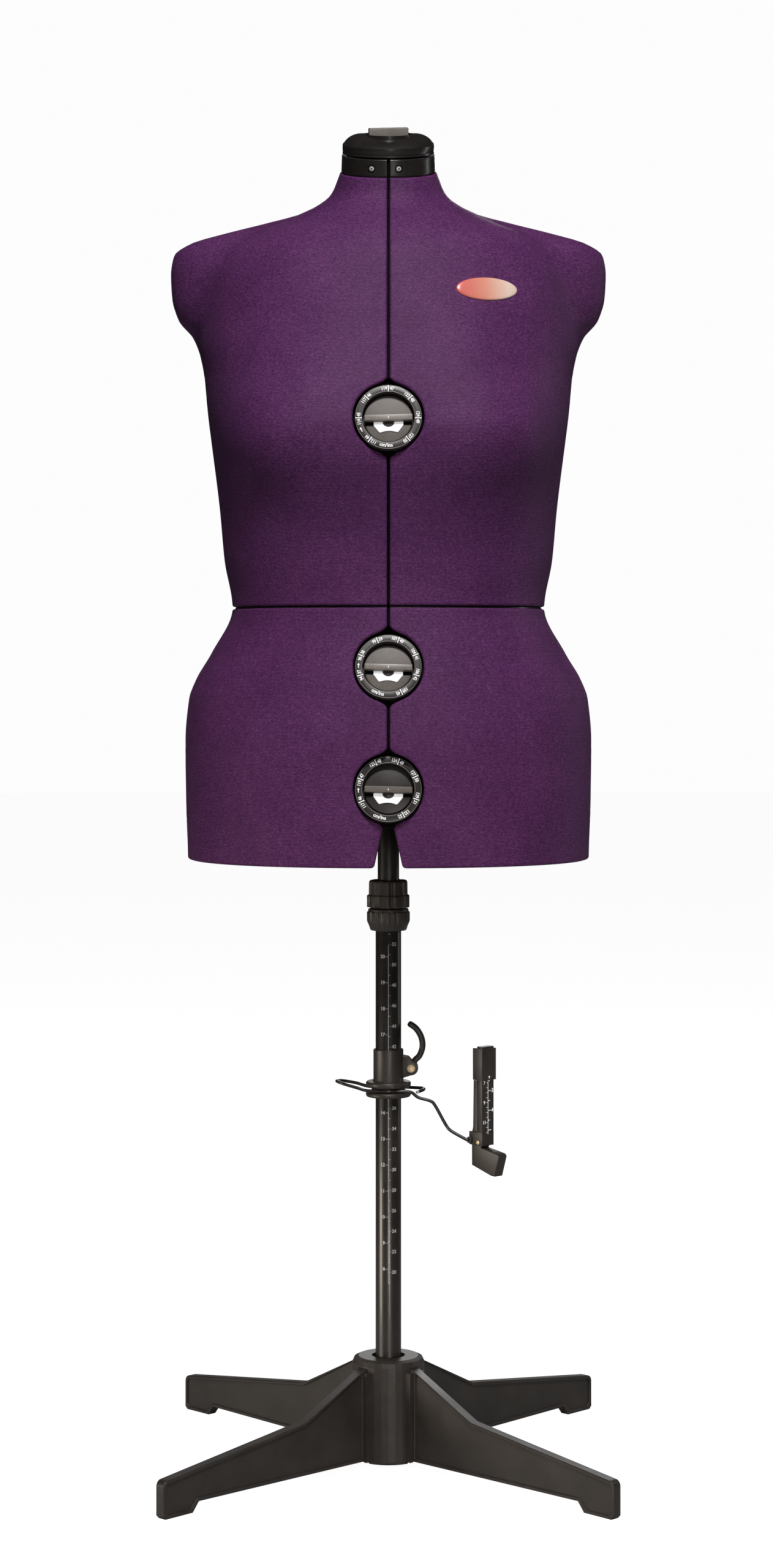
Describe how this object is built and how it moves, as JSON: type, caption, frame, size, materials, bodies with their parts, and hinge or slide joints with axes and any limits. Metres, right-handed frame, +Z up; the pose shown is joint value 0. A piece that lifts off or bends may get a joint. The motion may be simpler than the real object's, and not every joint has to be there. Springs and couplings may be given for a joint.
{
  "type": "adjustable dress form on stand",
  "caption": "Adjustable jersey-covered dress form with size dials on a telescopic four-legged stand, with a sliding hem marker and clip.",
  "frame": {"origin": "on the floor, on the tube's axis, under the middle of the stand", "axes": "+Z up along the tube, the form faces -Y, so its own left side is at +X"},
  "size_m": [0.4254, 0.4252, 1.3072],
  "materials": {
    "purple_jersey": "ribbed knit jersey, purple, matt",
    "shell_plastic": "glossy black",
    "dial_plastic": "satin dark grey",
    "stand_plastic": "satin black",
    "painted_steel": "gloss black paint",
    "brass": "plain"
  },
  "bodies": {
    "stand": {"base_hub": "stand_plastic", "leg_front_left": "stand_plastic", "leg_back_left": "stand_plastic", "leg_back_right": "stand_plastic", "leg_front_right": "stand_plastic", "outer_tube": "painted_steel", "clamp_body": "stand_plastic"},
    "clamp_nut": {"clamp_nut": "stand_plastic"},
    "mast": {"mast": "painted_steel"},
    "torso_frame": {"torso_frame": "shell_plastic"},
    "chest_front_carrier": {"bust_front_dial": "dial_plastic", "neck_cap": "shell_plastic"},
    "chest_back_carrier": {"bust_back_dial": "dial_plastic"},
    "chest_left_carrier": {"bust_left_dial": "dial_plastic"},
    "chest_right_carrier": {"bust_right_dial": "dial_plastic"},
    "hip_front_carrier": {"waist_front_dial": "dial_plastic", "hip_front_dial": "dial_plastic"},
    "hip_back_carrier": {"waist_back_dial": "dial_plastic", "hip_back_dial": "dial_plastic"},
    "hip_left_carrier": {"waist_left_dial": "dial_plastic", "hip_left_dial": "dial_plastic"},
    "hip_right_carrier": {"waist_right_dial": "dial_plastic", "hip_right_dial": "dial_plastic"},
    "neck_knob": {"neck_knob": "dial_plastic"},
    "marker": {"marker_sleeve": "stand_plastic"},
    "marker_arm": {"marker_wire": "painted_steel", "clip_bar": "stand_plastic", "clip_pin": "brass"},
    "marker_lever": {"cam_lever": "stand_plastic", "lever_pin": "brass"},
    "clip_jaw": {"clip_jaw": "stand_plastic"},
    "clip_slider": {"clip_slider": "stand_plastic"},
    "chest_front_left": {"chest_front_left_shell": "shell_plastic", "chest_front_left_cover": "purple_jersey"},
    "chest_front_right": {"chest_front_right_shell": "shell_plastic", "chest_front_right_cover": "purple_jersey"},
    "chest_back_left": {"chest_back_left_shell": "shell_plastic", "chest_back_left_cover": "purple_jersey"},
    "chest_back_right": {"chest_back_right_shell": "shell_plastic", "chest_back_right_cover": "purple_jersey"},
    "hip_front_left": {"hip_front_left_shell": "shell_plastic", "hip_front_left_cover": "purple_jersey"},
    "hip_front_right": {"hip_front_right_shell": "shell_plastic", "hip_front_right_cover": "purple_jersey"},
    "hip_back_left": {"hip_back_left_shell": "shell_plastic", "hip_back_left_cover": "purple_jersey"},
    "hip_back_right": {"hip_back_right_shell": "shell_plastic", "hip_back_right_cover": "purple_jersey"},
    "bust_front_knob": {"bust_front_knob": "dial_plastic"},
    "bust_back_knob": {"bust_back_knob": "dial_plastic"},
    "bust_left_knob": {"bust_left_knob": "dial_plastic"},
    "bust_right_knob": {"bust_right_knob": "dial_plastic"},
    "waist_front_knob": {"waist_front_knob": "dial_plastic"},
    "waist_back_knob": {"waist_back_knob": "dial_plastic"},
    "waist_left_knob": {"waist_left_knob": "dial_plastic"},
    "waist_right_knob": {"waist_right_knob": "dial_plastic"},
    "hip_front_knob": {"hip_front_knob": "dial_plastic"},
    "hip_back_knob": {"hip_back_knob": "dial_plastic"},
    "hip_left_knob": {"hip_left_knob": "dial_plastic"},
    "hip_right_knob": {"hip_right_knob": "dial_plastic"}
  },
  "joints": [
    {"name": "clamp_nut_turn", "type": "hinge", "parent": "stand", "child": "clamp_nut", "pos_m": [0, 0, 0.555], "axis": [0, 0, 1], "range_deg": [0, 90]},
    {"name": "height_slide", "type": "slide", "parent": "stand", "child": "mast", "axis": [0, 0, 1], "range_m": [-0.055, 0.3]},
    {"name": "torso_turn", "type": "hinge", "parent": "mast", "child": "torso_frame", "pos_m": [0, 0, 0.9], "axis": [0, 0, 1], "continuous": true},
    {"name": "chest_depth", "type": "slide", "parent": "torso_frame", "child": "chest_front_carrier", "axis": [0, -1, 0], "range_m": [0, 0.01875]},
    {"name": "chest_depth_back", "type": "slide", "parent": "torso_frame", "child": "chest_back_carrier", "axis": [0, 1, 0], "range_m": [0, 0.01875]},
    {"name": "chest_width", "type": "slide", "parent": "chest_front_carrier", "child": "chest_front_left", "axis": [1, 0, 0], "range_m": [0, 0.01875]},
    {"name": "chest_width_front_right", "type": "slide", "parent": "chest_front_carrier", "child": "chest_front_right", "axis": [-1, 0, 0], "range_m": [0, 0.01875]},
    {"name": "chest_width_back_left", "type": "slide", "parent": "chest_back_carrier", "child": "chest_back_left", "axis": [1, 0, 0], "range_m": [0, 0.01875]},
    {"name": "chest_width_back_right", "type": "slide", "parent": "chest_back_carrier", "child": "chest_back_right", "axis": [-1, 0, 0], "range_m": [0, 0.01875]},
    {"name": "chest_width_left_dial", "type": "slide", "parent": "torso_frame", "child": "chest_left_carrier", "axis": [1, 0, 0], "range_m": [0, 0.01875]},
    {"name": "chest_width_right_dial", "type": "slide", "parent": "torso_frame", "child": "chest_right_carrier", "axis": [-1, 0, 0], "range_m": [0, 0.01875]},
    {"name": "bust_front_turn", "type": "hinge", "parent": "chest_front_carrier", "child": "bust_front_knob", "pos_m": [0, -0.16958, 1.009], "axis": [0, -0.9744, 0.225], "range_deg": [0, 270]},
    {"name": "bust_back_turn", "type": "hinge", "parent": "chest_back_carrier", "child": "bust_back_knob", "pos_m": [0, 0.15006, 1.009], "axis": [0, 0.9976, -0.0698], "range_deg": [0, 270]},
    {"name": "bust_left_turn", "type": "hinge", "parent": "chest_left_carrier", "child": "bust_left_knob", "pos_m": [0.16617, 0.04417, 1.009], "axis": [0.9606, 0.2574, -0.1045], "range_deg": [0, 270]},
    {"name": "bust_right_turn", "type": "hinge", "parent": "chest_right_carrier", "child": "bust_right_knob", "pos_m": [-0.16617, 0.04417, 1.009], "axis": [-0.9606, 0.2574, -0.1045], "range_deg": [0, 270]},
    {"name": "hip_depth", "type": "slide", "parent": "torso_frame", "child": "hip_front_carrier", "axis": [0, -1, 0], "range_m": [0, 0.01875]},
    {"name": "hip_depth_back", "type": "slide", "parent": "torso_frame", "child": "hip_back_carrier", "axis": [0, 1, 0], "range_m": [0, 0.01875]},
    {"name": "hip_width", "type": "slide", "parent": "hip_front_carrier", "child": "hip_front_left", "axis": [1, 0, 0], "range_m": [0, 0.01875]},
    {"name": "hip_width_front_right", "type": "slide", "parent": "hip_front_carrier", "child": "hip_front_right", "axis": [-1, 0, 0], "range_m": [0, 0.01875]},
    {"name": "hip_width_back_left", "type": "slide", "parent": "hip_back_carrier", "child": "hip_back_left", "axis": [1, 0, 0], "range_m": [0, 0.01875]},
    {"name": "hip_width_back_right", "type": "slide", "parent": "hip_back_carrier", "child": "hip_back_right", "axis": [-1, 0, 0], "range_m": [0, 0.01875]},
    {"name": "hip_width_left_dial", "type": "slide", "parent": "torso_frame", "child": "hip_left_carrier", "axis": [1, 0, 0], "range_m": [0, 0.01875]},
    {"name": "hip_width_right_dial", "type": "slide", "parent": "torso_frame", "child": "hip_right_carrier", "axis": [-1, 0, 0], "range_m": [0, 0.01875]},
    {"name": "waist_front_turn", "type": "hinge", "parent": "hip_front_carrier", "child": "waist_front_knob", "pos_m": [0, -0.14811, 0.778], "axis": [0, -0.9563, 0.2924], "range_deg": [0, 270]},
    {"name": "waist_back_turn", "type": "hinge", "parent": "hip_back_carrier", "child": "waist_back_knob", "pos_m": [0, 0.15311, 0.778], "axis": [0, 0.9613, 0.2756], "range_deg": [0, 270]},
    {"name": "waist_left_turn", "type": "hinge", "parent": "hip_left_carrier", "child": "waist_left_knob", "pos_m": [0.17195, 0.04417, 0.778], "axis": [0.8682, 0.2326, 0.4384], "range_deg": [0, 270]},
    {"name": "waist_right_turn", "type": "hinge", "parent": "hip_right_carrier", "child": "waist_right_knob", "pos_m": [-0.17195, 0.04417, 0.778], "axis": [-0.8682, 0.2326, 0.4384], "range_deg": [0, 270]},
    {"name": "hip_front_turn", "type": "hinge", "parent": "hip_front_carrier", "child": "hip_front_knob", "pos_m": [0, -0.1568, 0.664], "axis": [0, -0.9816, 0.1908], "range_deg": [0, 270]},
    {"name": "hip_back_turn", "type": "hinge", "parent": "hip_back_carrier", "child": "hip_back_knob", "pos_m": [0, 0.16689, 0.664], "axis": [0, 1, 0], "range_deg": [0, 270]},
    {"name": "hip_left_turn", "type": "hinge", "parent": "hip_left_carrier", "child": "hip_left_knob", "pos_m": [0.19043, 0.04417, 0.664], "axis": [0.9658, 0.2588, 0.0175], "range_deg": [0, 270]},
    {"name": "hip_right_turn", "type": "hinge", "parent": "hip_right_carrier", "child": "hip_right_knob", "pos_m": [-0.19043, 0.04417, 0.664], "axis": [-0.9658, 0.2588, 0.0175], "range_deg": [0, 270]},
    {"name": "neck_knob_turn", "type": "hinge", "parent": "chest_front_carrier", "child": "neck_knob", "pos_m": [0, -0.0086, 1.278], "axis": [0, -0.2588, 0.9659], "range_deg": [0, 180]},
    {"name": "marker_slide", "type": "slide", "parent": "stand", "child": "marker", "axis": [0, 0, 1], "range_m": [-0.19, 0.085]},
    {"name": "arm_swivel", "type": "hinge", "parent": "marker", "child": "marker_arm", "pos_m": [0, 0, 0.3633], "axis": [0, 0, 1], "continuous": true},
    {"name": "lever_turn", "type": "hinge", "parent": "marker", "child": "marker_lever", "pos_m": [0.0222, 0, 0.3842], "axis": [0, 1, 0], "range_deg": [0, 75]},
    {"name": "jaw_turn", "type": "hinge", "parent": "marker_arm", "child": "clip_jaw", "pos_m": [0.0928, -0.03, 0.3162], "axis": [-0.7431, -0.6691, 0], "range_deg": [0, 15], "stiffness_Nm_per_rad": 0.25, "springref_deg": -11.46},
    {"name": "slider_slide", "type": "slide", "parent": "marker_arm", "child": "clip_slider", "axis": [0, 0, -1], "range_m": [0, 0.044]}
  ],
  "couplings": [
    {"joint": "chest_depth_back", "follows": "chest_depth", "ratio": 1},
    {"joint": "chest_width_front_right", "follows": "chest_width", "ratio": 1},
    {"joint": "chest_width_back_left", "follows": "chest_width", "ratio": 1},
    {"joint": "chest_width_back_right", "follows": "chest_width", "ratio": 1},
    {"joint": "chest_width_left_dial", "follows": "chest_width", "ratio": 1},
    {"joint": "chest_width_right_dial", "follows": "chest_width", "ratio": 1},
    {"joint": "bust_front_turn", "follows": "chest_width", "rad_per_m": 251.33},
    {"joint": "bust_back_turn", "follows": "chest_width", "rad_per_m": 251.33},
    {"joint": "bust_left_turn", "follows": "chest_depth", "rad_per_m": 251.33},
    {"joint": "bust_right_turn", "follows": "chest_depth", "rad_per_m": 251.33},
    {"joint": "hip_depth_back", "follows": "hip_depth", "ratio": 1},
    {"joint": "hip_width_front_right", "follows": "hip_width", "ratio": 1},
    {"joint": "hip_width_back_left", "follows": "hip_width", "ratio": 1},
    {"joint": "hip_width_back_right", "follows": "hip_width", "ratio": 1},
    {"joint": "hip_width_left_dial", "follows": "hip_width", "ratio": 1},
    {"joint": "hip_width_right_dial", "follows": "hip_width", "ratio": 1},
    {"joint": "waist_front_turn", "follows": "hip_width", "rad_per_m": 251.33},
    {"joint": "waist_back_turn", "follows": "hip_width", "rad_per_m": 251.33},
    {"joint": "waist_left_turn", "follows": "hip_depth", "rad_per_m": 251.33},
    {"joint": "waist_right_turn", "follows": "hip_depth", "rad_per_m": 251.33},
    {"joint": "hip_front_turn", "follows": "hip_width", "rad_per_m": 251.33},
    {"joint": "hip_back_turn", "follows": "hip_width", "rad_per_m": 251.33},
    {"joint": "hip_left_turn", "follows": "hip_depth", "rad_per_m": 251.33},
    {"joint": "hip_right_turn", "follows": "hip_depth", "rad_per_m": 251.33}
  ]
}
